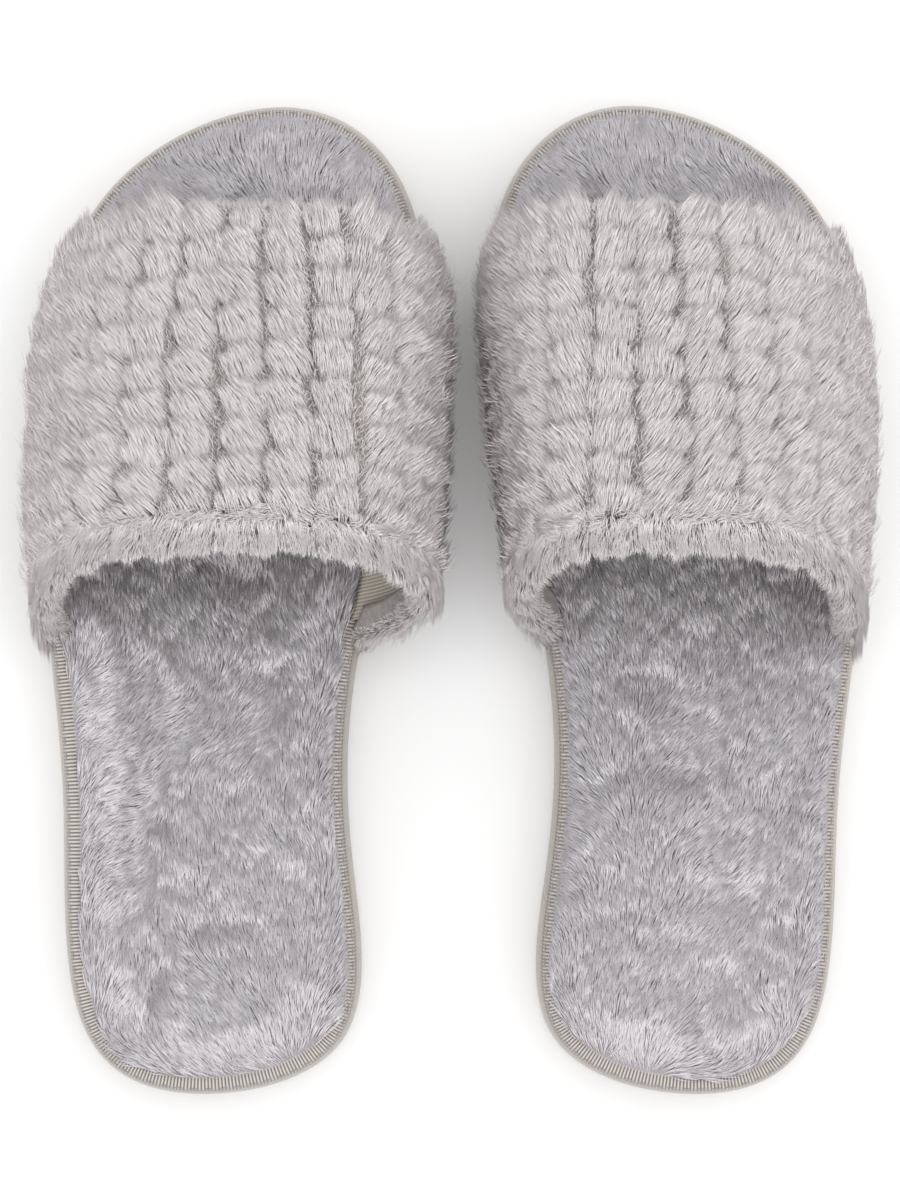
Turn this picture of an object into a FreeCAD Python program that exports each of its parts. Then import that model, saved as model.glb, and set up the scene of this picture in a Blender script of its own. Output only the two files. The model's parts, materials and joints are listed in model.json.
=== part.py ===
import FreeCAD, Part
import math
import os

import Sketcher
from FreeCAD import Placement, Rotation, Vector

# A pair of open-toe spa slippers, each built the way a stitched platform slipper is:
# a rubber outsole, a board, foam and cushion wrapped by a ribbed cover, a plush sock on
# top and a furry band over the instep. Each slipper is drawn in its own local frame:
# the origin under the middle of the sole on the floor, +Y to the toes, +Z up, and
# "across" counted positive toward the big toe. The pair stands side by side.

doc = FreeCAD.newDocument("spa_slippers")

# ---------------------------------------------------------------- driving dimensions

DIMENSIONS = (
    # sole outline and where the two slippers stand
    ("sole_length", 260.0),
    ("ball_width", 99.0),
    ("stand_off", 62.9),
    ("right_stand_off", 64.3),
    ("right_toe_out", 1.2),
    # heights of the layers, counted from the floor
    ("outsole_top", 8.0),
    ("board_bottom", 9.0),
    ("board_top", 10.5),
    ("foam_top", 18.0),
    ("cushion_top", 21.0),
    ("cover_top", 22.2),
    ("sock_top", 26.0),
    ("sock_round", 4.0),
    # distances inward from the edge of the outsole
    ("cover_inset", 1.5),
    ("platform_inset", 2.7),
    ("sock_inset", 4.9),
    ("cover_turn_under", 11.0),
    # outsole details
    ("outsole_edge", 1.2),
    ("tread_margin", 9.0),
    ("tread_pitch", 10.0),
    ("tread_radius", 1.5),
    ("tread_depth", 2.0),
    ("tread_count", 24),
    # band over the instep: side view of its front and rear edges
    ("band_rear_foot", -15.0),
    ("band_rear_crown", 12.0),
    ("band_front_foot", 95.0),
    ("band_front_crown", 105.0),
    ("band_rear_height", 84.0),
    ("band_front_height", 67.0),
    ("band_skirt", 13.0),
    ("band_gap", 0.4),
    ("edge_turn", 1.5),
    # band layers: thickness over the crown and at the sides
    ("fur_crown", 9.0),
    ("fur_side", 6.5),
    ("band_foam_wall", 2.0),
    ("band_lining_wall", 1.0),
    # where the layers of the band stand on the rim of the cover
    ("foam_foot_inset", 3.3),
    ("lining_foot_inset", 4.1),
    ("skirt_overhang", 1.2),
    ("upright_margin", 1.2),
    # how far the band leans out past the sole: at the rear, middle and front
    ("left_inner_lean_rear", 20.5),
    ("left_inner_lean_middle", 11.0),
    ("left_inner_lean_front", 5.0),
    ("left_outer_lean_rear", 4.5),
    ("left_outer_lean_middle", 1.5),
    ("left_outer_lean_front", 1.5),
    ("right_inner_lean_rear", 10.0),
    ("right_inner_lean_middle", 2.2),
    ("right_inner_lean_front", 0.8),
    ("right_outer_lean_rear", 0.3),
    ("right_outer_lean_middle", -0.7),
    ("right_outer_lean_front", 0.8),
    # seams
    ("stitch_length", 2.6),
    ("stitch_width", 0.5),
    ("stitch_height", 0.5),
    ("stitch_pitch", 4.0),
    ("perimeter_seam_inset", 1.85),
    ("topline_seam_inset", 4.0),
)

# Poles of the closed sole outline, heel to toe and back: the distance across as a share
# of the ball width and the distance along as a share of the sole length.
OUTLINE = (
    ("toe_tip", 0.247, 0.5309),
    ("big_toe", 0.586, 0.4223),
    ("inner_ball", 0.571, 0.2151),
    ("inner_arch_front", 0.460, 0.0736),
    ("inner_arch", 0.354, -0.1104),
    ("inner_waist", 0.362, -0.2596),
    ("inner_heel", 0.465, -0.4766),
    ("heel_back", -0.152, -0.5193),
    ("outer_heel", -0.404, -0.4340),
    ("outer_waist", -0.379, -0.2034),
    ("outer_arch", -0.425, -0.0697),
    ("outer_ball", -0.466, 0.1201),
    ("little_toe", -0.450, 0.2848),
    ("outer_toe", -0.288, 0.4437),
)

sheet = doc.addObject("Spreadsheet::Sheet", "Sheet")
for row, (alias, value) in enumerate(DIMENSIONS, start=1):
    sheet.set("A%d" % row, alias)
    sheet.set("B%d" % row, str(value))
    sheet.setAlias("B%d" % row, alias)
doc.recompute()


def size(alias):
    return float(sheet.get(alias))


# ---------------------------------------------------------------- sole outline


def outline_normals():
    """Outward direction at each pole of the outline."""
    count = len(OUTLINE)
    normals = []
    for i in range(count):
        before = OUTLINE[i - 1]
        after = OUTLINE[(i + 1) % count]
        step_x = (after[1] - before[1]) * size("ball_width")
        step_y = (after[2] - before[2]) * size("sole_length")
        length = math.hypot(step_x, step_y)
        # the poles run clockwise seen from above, so outward is to the left of the step
        normals.append((-step_y / length, step_x / length))
    return normals


NORMALS = outline_normals()


def outline_poles(side, inset):
    poles = []
    for (name, across, along), (out_x, out_y) in zip(OUTLINE, NORMALS):
        x = across * size("ball_width") - inset * out_x
        y = along * size("sole_length") - inset * out_y
        poles.append(Vector(side * x, y, 0))
    return poles


def outline_curve(side, inset):
    return Part.BSplineCurve(outline_poles(side, inset), None, None, True, 3, None, False)


EDGE_POINTS = outline_curve(1, 0.0).toShape().discretize(Number=721)[:-1]


def sole_edge(along, toward_big_toe):
    """Distance across of the outsole's edge at one station along the foot."""
    points = EDGE_POINTS
    best = None
    for start, end in zip(points, points[1:] + points[:1]):
        crosses = (start.y - along) * (end.y - along) <= 0 and start.y != end.y
        if crosses:
            share = (along - start.y) / (end.y - start.y)
            x = start.x + share * (end.x - start.x)
            if best is None or (x > best) == toward_big_toe:
                best = x
    return best


def origin_plane(body, role):
    return [feature for feature in body.Origin.OriginFeatures if feature.Role == role][0]


def new_sketch(body, name, height):
    """An empty sketch on the body's own XY plane, lifted to the height expression."""
    sketch = body.newObject("Sketcher::SketchObject", name)
    sketch.AttachmentSupport = [(origin_plane(body, "XY_Plane"), "")]
    sketch.MapMode = "FlatFace"
    sketch.setExpression("AttachmentOffset.Base.z", height)
    return sketch


def outline_sketch(body, name, side, inset, height):
    """The sole outline, drawn in from the outsole's edge by the inset expression."""
    sketch = new_sketch(body, name, height)
    poles = outline_poles(side, 0.0)
    curve = sketch.addGeometry(outline_curve(side, 0.0), False)
    handles = []
    for index, pole in enumerate(poles):
        handle = sketch.addGeometry(Part.Circle(pole, Vector(0, 0, 1), 1.0), True)
        handles.append(handle)
        sketch.addConstraint(Sketcher.Constraint(
            "InternalAlignment:Sketcher::BSplineControlPoint", handle, 3, curve, index))
    sketch.addConstraint(Sketcher.Constraint("Radius", handles[0], 1.0))
    for handle in handles[1:]:
        sketch.addConstraint(Sketcher.Constraint("Equal", handles[0], handle))
    for handle, pole, station, normal in zip(handles, poles, OUTLINE, NORMALS):
        name_x = sketch.addConstraint(
            Sketcher.Constraint("DistanceX", -1, 1, handle, 3, pole.x))
        name_y = sketch.addConstraint(
            Sketcher.Constraint("DistanceY", -1, 1, handle, 3, pole.y))
        sketch.setExpression(
            "Constraints[%d]" % name_x,
            "%d * (Sheet.ball_width * %.4f - (%s) * %.5f)" % (side, station[1], inset, normal[0]))
        sketch.setExpression(
            "Constraints[%d]" % name_y,
            "Sheet.sole_length * %.4f - (%s) * %.5f" % (station[2], inset, normal[1]))
    return sketch


def pad(body, name, sketch, length):
    feature = body.newObject("PartDesign::Pad", name)
    feature.Profile = sketch
    feature.setExpression("Length", length)
    return feature


def pocket(body, name, sketch, length):
    """Cuts upward from the sketch, and checks that something was really cut."""
    before = body.Shape.Volume
    feature = body.newObject("PartDesign::Pocket", name)
    feature.Profile = sketch
    feature.Reversed = True
    feature.setExpression("Length", length)
    doc.recompute()
    if not body.Shape.Volume < before - 1.0:
        raise RuntimeError("%s in %s cuts nothing" % (name, body.Label))
    return feature


# ---------------------------------------------------------------- platform


def standing_place(side):
    if side > 0:
        return Placement(Vector(-size("stand_off"), 0, 0), Rotation())
    turn = Rotation(Vector(0, 0, 1), -size("right_toe_out"))
    return Placement(Vector(size("right_stand_off"), 0, 0), turn)


def slab(node, side, inset, bottom, top):
    """One flat layer of the platform between two heights."""
    body = doc.addObject("PartDesign::Body", node)
    sketch = outline_sketch(body, node + "_outline", side, inset, bottom)
    pad(body, node + "_pad", sketch, "%s - %s" % (top, bottom))
    doc.recompute()
    return body


def edges_at_height(shape, height):
    names = []
    for index, edge in enumerate(shape.Edges, start=1):
        box = edge.BoundBox
        if abs(box.ZMin - height) < 0.01 and abs(box.ZMax - height) < 0.01:
            names.append("Edge%d" % index)
    return names


def tread_sketch(body, node, side):
    """Rounded slots across the sole, each ending inside the outsole's margin."""
    sketch = new_sketch(body, node + "_tread_outline", "0")
    radius = size("tread_radius")
    count = int(size("tread_count"))
    for index in range(count):
        station = index - (count - 1) / 2.0
        along = station * size("tread_pitch")
        reach = size("tread_margin") + radius
        ends = sorted((side * (sole_edge(along, False) + reach),
                       side * (sole_edge(along, True) - reach)))
        left = Vector(ends[0], along, 0)
        right = Vector(ends[1], along, 0)
        rise = Vector(0, radius, 0)
        quarter = math.pi / 2
        up = Vector(0, 0, 1)
        left_end = sketch.addGeometry(
            Part.ArcOfCircle(Part.Circle(left, up, radius), quarter, 3 * quarter), False)
        right_end = sketch.addGeometry(
            Part.ArcOfCircle(Part.Circle(right, up, radius), -quarter, quarter), False)
        lower = sketch.addGeometry(Part.LineSegment(left - rise, right - rise), False)
        upper = sketch.addGeometry(Part.LineSegment(right + rise, left + rise), False)
        sketch.addConstraint([
            Sketcher.Constraint("Tangent", left_end, 2, lower, 1),
            Sketcher.Constraint("Tangent", lower, 2, right_end, 1),
            Sketcher.Constraint("Tangent", right_end, 2, upper, 1),
            Sketcher.Constraint("Tangent", upper, 2, left_end, 1),
            Sketcher.Constraint("Horizontal", lower),
            Sketcher.Constraint("DistanceX", -1, 1, left_end, 3, left.x),
            Sketcher.Constraint("DistanceX", -1, 1, right_end, 3, right.x),
        ])
        row = sketch.addConstraint(Sketcher.Constraint("DistanceY", -1, 1, left_end, 3, along))
        sketch.setExpression("Constraints[%d]" % row, "Sheet.tread_pitch * %.1f" % station)
        bore = sketch.addConstraint(Sketcher.Constraint("Radius", left_end, radius))
        sketch.setExpression("Constraints[%d]" % bore, "Sheet.tread_radius")
    return sketch


def round_edges(body, heights, radius):
    """Rounds the outline edges that lie at the given heights."""
    block = body.Tip
    rims = []
    for height in heights:
        rims += edges_at_height(block.Shape, size(height) if height else 0.0)
    rounding = body.newObject("PartDesign::Fillet", body.Name + "_rounding")
    rounding.Base = (block, rims)
    rounding.setExpression("Radius", radius)
    doc.recompute()


def make_outsole(name, side):
    node = name + "_outsole"
    body = slab(node, side, "0", "0", "Sheet.outsole_top")
    round_edges(body, (None, "outsole_top"), "Sheet.outsole_edge")
    pocket(body, node + "_tread", tread_sketch(body, node, side), "Sheet.tread_depth")
    return body


def make_platform_cover(name, side):
    """Ribbed tape that wraps the platform: a wall with a lip over the top and one below."""
    node = name + "_platform_cover"
    body = slab(node, side, "Sheet.cover_inset", "Sheet.outsole_top", "Sheet.cover_top")
    cuts = (
        ("hollow", "Sheet.platform_inset", "Sheet.board_bottom", "Sheet.cushion_top"),
        ("top_opening", "Sheet.sock_inset", "Sheet.cushion_top", "Sheet.cover_top"),
        ("bottom_opening", "Sheet.cover_turn_under", "Sheet.outsole_top", "Sheet.board_bottom"),
    )
    for cut, inset, bottom, top in cuts:
        sketch = outline_sketch(body, "%s_%s_outline" % (node, cut), side, inset, bottom)
        pocket(body, "%s_%s" % (node, cut), sketch, "%s - %s" % (top, bottom))
    return body


def make_sock_lining(name, side):
    """Plush sock: its backing fills the cover's opening and its pile falls off at the edge."""
    body = slab(name + "_sock_lining", side, "Sheet.sock_inset",
                "Sheet.cushion_top", "Sheet.sock_top")
    round_edges(body, ("sock_top",), "Sheet.sock_round")
    return body


def make_platform(name, side):
    return [
        make_outsole(name, side),
        slab(name + "_insole_board", side, "Sheet.platform_inset",
             "Sheet.board_bottom", "Sheet.board_top"),
        slab(name + "_platform_foam", side, "Sheet.platform_inset",
             "Sheet.board_top", "Sheet.foam_top"),
        slab(name + "_cushion_foam", side, "Sheet.platform_inset",
             "Sheet.foam_top", "Sheet.cushion_top"),
        make_sock_lining(name, side),
        make_platform_cover(name, side),
    ]


# ---------------------------------------------------------------- band over the instep

# Stations along the foot where an arch section of the band is drawn.
ARCH_STATIONS = (-22.0, -8.0, 8.0, 24.0, 40.0, 56.0, 72.0, 86.0, 98.0, 112.0)
LEAN_STATIONS = (4.0, 51.0, 98.0)
WIDEST_SHARE = 0.33     # height of the widest point, as a share of the arch's height
SHOULDER_ANGLE = 48.0   # degrees round the arch from its widest point to its shoulder
SHOULDER_FULLNESS = 1.04
CROWN_SHIFT = 3.0       # the ridge of the instep lies toward the big toe


def between(value, stations, values):
    """Straight interpolation, held at the ends."""
    if value <= stations[0]:
        return values[0]
    for k in range(len(stations) - 1):
        if value <= stations[k + 1]:
            share = (value - stations[k]) / (stations[k + 1] - stations[k])
            return values[k] + share * (values[k + 1] - values[k])
    return values[-1]


def crown_height(along):
    run = size("band_front_crown") - size("band_rear_crown")
    share = (along - size("band_rear_crown")) / run
    return size("band_rear_height") + share * (size("band_front_height") - size("band_rear_height"))


def lean(name, along, toward_big_toe):
    side = "inner" if toward_big_toe else "outer"
    leans = [size("%s_%s_lean_%s" % (name, side, place)) for place in ("rear", "middle", "front")]
    return between(along, LEAN_STATIONS, leans)


def arch_points(name, along, foot_inset, foot_height, crown_depth, side_depth):
    """Seven points of one arch, from the little-toe side over the crown to the big-toe side."""
    rim = size("cover_top")
    top = crown_height(along) - crown_depth
    widest_height = rim + WIDEST_SHARE * (crown_height(along) - rim)
    outer_foot = sole_edge(along, False) + foot_inset
    inner_foot = sole_edge(along, True) - foot_inset
    wide_insets = []
    for toward_big_toe in (False, True):
        wide_inset = side_depth - lean(name, along, toward_big_toe)
        if side_depth > 0:
            # the inner layers stand nearly upright where the fur has no lean
            upright = size("foam_foot_inset") + size("upright_margin")
            wide_inset = min(wide_inset, upright + side_depth - size("fur_side"))
        wide_insets.append(wide_inset)
    outer_wide = sole_edge(along, False) + wide_insets[0]
    inner_wide = sole_edge(along, True) - wide_insets[1]
    crown = (sole_edge(along, False) + sole_edge(along, True)) / 2 + CROWN_SHIFT
    angle = math.radians(SHOULDER_ANGLE)
    shoulder_height = widest_height + SHOULDER_FULLNESS * math.sin(angle) * (top - widest_height)
    shoulder_reach = SHOULDER_FULLNESS * math.cos(angle)
    return [
        (outer_foot, foot_height),
        (outer_wide, widest_height),
        (crown + (outer_wide - crown) * shoulder_reach, shoulder_height),
        (crown, top),
        (crown + (inner_wide - crown) * shoulder_reach, shoulder_height),
        (inner_wide, widest_height),
        (inner_foot, foot_height),
    ]


def arch_dome(label, name, side, foot_inset, foot_height, crown_depth, side_depth):
    """A closed tunnel-shaped solid through the arch sections."""
    sections = []
    for index, along in enumerate(ARCH_STATIONS):
        points = [Vector(side * across, along, height) for across, height in
                  arch_points(name, along, foot_inset, foot_height, crown_depth, side_depth)]
        arch = Part.BSplineCurve()
        arch.interpolate(points)
        base = Part.LineSegment(points[-1], points[0])
        section = doc.addObject("Part::Feature", "%s_section_%d" % (label, index))
        section.Shape = Part.Wire([arch.toShape(), base.toShape()])
        sections.append(section)
    dome = doc.addObject("Part::Loft", label)
    dome.Sections = sections
    dome.Solid = True
    dome.Ruled = False
    return dome


def side_profile(label, edge_turn):
    """Side view of the band, extruded across: its front and rear edges slope forward."""
    foot = size("cover_top")
    rear_slope = ((size("band_rear_crown") - size("band_rear_foot"))
                  / (size("band_rear_height") - foot))
    front_slope = ((size("band_front_crown") - size("band_front_foot"))
                   / (size("band_front_height") - foot))
    low = size("outsole_top")
    high = size("band_rear_height") + 4 * size("fur_crown")

    def rear(height):
        return size("band_rear_foot") + rear_slope * (height - foot) + edge_turn

    def front(height):
        return size("band_front_foot") + front_slope * (height - foot) - edge_turn

    reach = size("ball_width")
    corners = [Vector(-reach, rear(foot), low), Vector(-reach, rear(foot), foot),
               Vector(-reach, rear(high), high), Vector(-reach, front(high), high),
               Vector(-reach, front(foot), foot), Vector(-reach, front(foot), low)]
    outline = doc.addObject("Part::Feature", label + "_outline")
    outline.Shape = Part.Face(Part.makePolygon(corners + corners[:1]))
    profile = doc.addObject("Part::Extrusion", label)
    profile.Base = outline
    profile.DirMode = "Custom"
    profile.Dir = Vector(1, 0, 0)
    profile.setExpression("LengthFwd", "2 * Sheet.ball_width")
    profile.Solid = True
    return profile


def boolean(kind, label, base, tool):
    result = doc.addObject("Part::" + kind, label)
    result.Base = base
    result.Tool = tool
    return result


def make_band(name, side):
    """Fur, foam and lining: nested arches, trimmed to the side view of the band."""
    rim = size("cover_top")
    fur_in = (size("fur_crown"), size("fur_side"))
    foam_in = (fur_in[0] + size("band_foam_wall"), fur_in[1] + size("band_foam_wall"))
    lining_in = (foam_in[0] + size("band_lining_wall"), foam_in[1] + size("band_lining_wall"))
    domes = [
        arch_dome(name + "_fur_arch", name, side,
                  -size("skirt_overhang"), size("band_skirt"), 0.0, 0.0),
        arch_dome(name + "_foam_arch", name, side, size("foam_foot_inset"), rim, *fur_in),
        arch_dome(name + "_lining_arch", name, side, size("lining_foot_inset"), rim, *foam_in),
        arch_dome(name + "_foot_arch", name, side, size("sock_inset"), rim, *lining_in),
    ]
    fur_profile = side_profile(name + "_fur_profile", 0.0)
    inner_profile = side_profile(name + "_inner_profile", size("edge_turn"))

    # room for the platform under the fur, a little wider and higher than the cover
    platform_room = slab(name + "_platform_room", side, "Sheet.cover_inset - Sheet.band_gap",
                         "0", "Sheet.cover_top + Sheet.stitch_height + Sheet.band_gap")

    shell = boolean("Cut", name + "_fur_shell", domes[0], domes[1])
    trimmed = boolean("Common", name + "_fur_trimmed", shell, fur_profile)
    fur = boolean("Cut", name + "_band_fur", trimmed, platform_room)

    shell = boolean("Cut", name + "_foam_shell", domes[1], domes[2])
    foam = boolean("Common", name + "_band_foam", shell, inner_profile)

    shell = boolean("Cut", name + "_lining_shell", domes[2], domes[3])
    lining = boolean("Common", name + "_band_lining", shell, inner_profile)
    doc.recompute()
    return [fur, foam, lining], domes[3]


# ---------------------------------------------------------------- seams


def stitch(middle, along, normal):
    """One stitch: a short flat bar lying along the seam, its underside on the cloth."""
    length = size("stitch_length")
    width = size("stitch_width")
    bar = Part.makeBox(length, width, size("stitch_height"), Vector(-length / 2, -width / 2, 0))
    across = normal.cross(along)
    frame = FreeCAD.Matrix(along.x, across.x, normal.x, middle.x,
                           along.y, across.y, normal.y, middle.y,
                           along.z, across.z, normal.z, middle.z,
                           0, 0, 0, 1)
    bar.Placement = Placement(frame)
    return bar


def seam(node, bars):
    feature = doc.addObject("Part::Feature", node)
    feature.Shape = Part.makeCompound(bars)
    return feature


def make_perimeter_stitching(name, side):
    """The row round the rim that holds sock, band and cover together."""
    edge = outline_curve(side, size("perimeter_seam_inset")).toShape()
    count = int(edge.Length / size("stitch_pitch"))
    points = edge.discretize(Number=count + 1)[:-1]
    bars = []
    for before, here, after in zip(points[-1:] + points[:-1], points, points[1:] + points[:1]):
        direction = (after - before).normalize()
        bars.append(stitch(here + Vector(0, 0, size("cover_top")), direction, Vector(0, 0, 1)))
    return seam(name + "_perimeter_stitching", bars)


def make_topline_stitching(name, side, edge_name, foot_arch):
    """The row inside one edge of the band, through the lining's inner face."""
    foot = size("cover_top")
    rise = size("band_%s_height" % edge_name) - foot
    run = size("band_%s_crown" % edge_name) - size("band_%s_foot" % edge_name)
    inward = size("topline_seam_inset") * (1 if edge_name == "rear" else -1)
    foot_along = size("band_%s_foot" % edge_name) + inward
    plane_point = Vector(0, foot_along, foot)
    up_the_edge = Vector(0, run, rise).normalize()
    centre_across = (sole_edge(foot_along, False) + sole_edge(foot_along, True)) / 2
    centre = plane_point + Vector(side * centre_across, 0, 0) + up_the_edge * (rise / 3)
    wall = foot_arch.Shape
    reach = 2 * size("ball_width")
    first, last = math.radians(-4), math.radians(184)

    def wall_point(angle):
        ray = Vector(side * math.cos(angle), 0, 0) + up_the_edge * math.sin(angle)
        inside = wall.common(Part.makeLine(centre, centre + ray * reach))
        return max((vertex.Point for vertex in inside.Vertexes), key=centre.distanceToPoint)

    # walk the wall in steps, then place the stitches at an even pitch along the walk
    steps = 48
    walk = [wall_point(first + (last - first) * k / steps) for k in range(steps + 1)]
    path = Part.makePolygon(walk)
    count = int(path.Length / size("stitch_pitch"))
    points = path.discretize(Number=count + 1)
    bars = []
    for before, here, after in zip(points[:-2], points[1:-1], points[2:]):
        direction = (after - before).normalize()
        inner = (centre - here)
        inner = (inner - direction * inner.dot(direction)).normalize()
        bars.append(stitch(here + inner * (size("stitch_width") / 5), direction, inner))
    return seam("%s_%s_topline_stitching" % (name, edge_name), bars)


# ---------------------------------------------------------------- the pair

nodes = []
for name, side in (("left", 1), ("right", -1)):
    pieces = make_platform(name, side)
    band, foot_arch = make_band(name, side)
    pieces += band
    pieces.append(make_perimeter_stitching(name, side))
    pieces.append(make_topline_stitching(name, side, "front", foot_arch))
    pieces.append(make_topline_stitching(name, side, "rear", foot_arch))
    for piece in pieces:
        piece.Placement = standing_place(side)
    nodes += pieces

doc.recompute()

# ---------------------------------------------------------------- checks and export

for item in doc.Objects:
    if "Invalid" in item.State or "Error" in item.State:
        raise RuntimeError("%s did not build: %s" % (item.Label, item.State))

os.makedirs("parts", exist_ok=True)
for node in nodes:
    shape = node.Shape
    if shape.isNull() or not shape.isValid():
        raise RuntimeError("%s has no valid shape" % node.Label)
    shape.exportStep("parts/%s.step" % node.Label)
    box = shape.BoundBox
    print("%-32s %4d solids %10.0f mm3  x %7.1f..%6.1f y %7.1f..%6.1f z %5.1f..%5.1f" % (
        node.Label, len(shape.Solids), shape.Volume,
        box.XMin, box.XMax, box.YMin, box.YMax, box.ZMin, box.ZMax))
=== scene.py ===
import json
import math

import bpy
import numpy as np
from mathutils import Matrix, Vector
from mathutils.bvhtree import BVHTree
from mathutils.kdtree import KDTree


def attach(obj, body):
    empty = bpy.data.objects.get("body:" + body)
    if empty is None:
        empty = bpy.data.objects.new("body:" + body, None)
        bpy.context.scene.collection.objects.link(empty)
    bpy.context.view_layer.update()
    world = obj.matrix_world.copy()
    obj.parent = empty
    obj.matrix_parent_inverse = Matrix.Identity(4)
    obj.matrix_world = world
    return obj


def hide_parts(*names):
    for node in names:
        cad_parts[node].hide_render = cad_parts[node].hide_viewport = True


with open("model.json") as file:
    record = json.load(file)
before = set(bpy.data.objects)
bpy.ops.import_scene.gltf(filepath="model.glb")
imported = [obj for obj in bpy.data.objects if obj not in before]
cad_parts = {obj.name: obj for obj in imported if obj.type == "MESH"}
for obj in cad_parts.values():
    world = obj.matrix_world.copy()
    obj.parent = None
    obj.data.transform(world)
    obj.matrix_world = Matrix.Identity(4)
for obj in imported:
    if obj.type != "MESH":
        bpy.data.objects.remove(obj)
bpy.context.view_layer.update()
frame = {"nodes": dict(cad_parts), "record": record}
nodes = frame["nodes"]
record = frame["record"]

# Shapes are worked out in each slipper's own frame, in millimetres: across (positive toward
# the big toe), along (positive toward the toes) and up. to_world() turns them into metres.

MM = 0.001
NAMES = ("left", "right")
SIDE = {"left": 1, "right": -1}
TOE_OUT = {"left": 0.0, "right": math.radians(1.2)}
SEED = {"left": 11, "right": 23}

# ---------------------------------------- slipper frames


def slipper_origin(name):
    mount = next(m for m in record["mounts"] if m["name"] == name + "_sole")
    return np.array(mount["pos_m"])


ORIGIN = {name: slipper_origin(name) for name in NAMES}


def to_world(name, points):
    """Slipper millimetres to row metres."""
    p = np.asarray(points, float) * MM
    x = p[..., 0] * SIDE[name]
    y = p[..., 1]
    turn = -TOE_OUT[name]
    return np.stack([x * math.cos(turn) - y * math.sin(turn) + ORIGIN[name][0],
                     x * math.sin(turn) + y * math.cos(turn) + ORIGIN[name][1],
                     p[..., 2] + ORIGIN[name][2]], axis=-1)


def to_local(name, points):
    """Row metres to slipper millimetres."""
    p = np.asarray(points, float) - ORIGIN[name]
    turn = TOE_OUT[name]
    x = p[..., 0] * math.cos(turn) - p[..., 1] * math.sin(turn)
    y = p[..., 0] * math.sin(turn) + p[..., 1] * math.cos(turn)
    return np.stack([x * SIDE[name], y, p[..., 2]], axis=-1) / MM


def cad_points(name, piece):
    mesh = nodes["%s_%s" % (name, piece)].data
    points = np.zeros(len(mesh.vertices) * 3)
    mesh.vertices.foreach_get("co", points)
    return to_local(name, points.reshape(-1, 3))


def cad_tree(name, piece):
    mesh = nodes["%s_%s" % (name, piece)].data
    faces = [tuple(face.vertices) for face in mesh.polygons]
    return BVHTree.FromPolygons([tuple(p) for p in cad_points(name, piece)], faces)


def cast(tree, start, direction, reach=400.0):
    """The point hit, or None."""
    hit = tree.ray_cast(Vector(start), Vector(direction), reach)[0]
    return None if hit is None else np.array(hit)


# ---------------------------------------- array helpers


def unit(v):
    return v / np.maximum(np.linalg.norm(v, axis=-1, keepdims=True), 1e-9)


def mix(a, b, share):
    return a + (b - a) * share


def smooth_step(value, low, high):
    t = np.clip((value - low) / (high - low), 0, 1)
    return t * t * (3 - 2 * t)


def gaps(points, axis=0):
    """Distances from each point of a line or a grid to the next."""
    return np.linalg.norm(np.diff(points, axis=axis), axis=-1)


def resample(line, count):
    """Evenly spaced points on an open line."""
    at = np.concatenate([[0.0], np.cumsum(gaps(line))])
    want = np.linspace(0.0, at[-1], count)
    return np.stack([np.interp(want, at, line[:, k]) for k in range(3)], axis=1)


def relax(grid, times):
    """Evens out small facets along both directions of a grid, its border kept."""
    for _ in range(times):
        grid[1:-1] = 0.25 * grid[:-2] + 0.5 * grid[1:-1] + 0.25 * grid[2:]
        grid[:, 1:-1] = 0.25 * grid[:, :-2] + 0.5 * grid[:, 1:-1] + 0.25 * grid[:, 2:]
    return grid


def grid_frame(grid):
    """Unit directions across and along a grid and its outward normal."""
    across = unit(np.gradient(grid, axis=1))
    along = unit(np.gradient(grid, axis=0))
    return across, along, unit(np.cross(across, along))


def flat_size(grid):
    """Mean lengths across and along a grid in metres, which is the size its cloth is cut to."""
    across = gaps(grid, axis=1).sum(axis=1).mean()
    along = gaps(grid).sum(axis=0).mean()
    return float(across * MM), float(along * MM)


def look_up(table, row, column):
    """Values of a grid at fractional rows and columns."""
    rows, columns = table.shape[:2]
    r = np.clip(row, 0, rows - 1.001)
    c = np.clip(column, 0, columns - 1.001)
    i, j = r.astype(int), c.astype(int)
    fr, fc = (r - i)[:, None], (c - j)[:, None]
    low = table[i, j] * (1 - fc) + table[i, j + 1] * fc
    high = table[i + 1, j] * (1 - fc) + table[i + 1, j + 1] * fc
    return low * (1 - fr) + high * fr


def value_noise(x, y, pitch, rng):
    """Smooth random field from -1 to 1."""
    table = rng.uniform(-1, 1, (64, 64))
    px, py = x / pitch + 1000.0, y / pitch + 1000.0
    i, j = np.floor(px).astype(int), np.floor(py).astype(int)
    fx, fy = px - i, py - j
    fx, fy = fx * fx * (3 - 2 * fx), fy * fy * (3 - 2 * fy)
    low = mix(table[i % 64, j % 64], table[(i + 1) % 64, j % 64], fx)
    high = mix(table[i % 64, (j + 1) % 64], table[(i + 1) % 64, (j + 1) % 64], fx)
    return mix(low, high, fy)


# ---------------------------------------- mesh building


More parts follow.
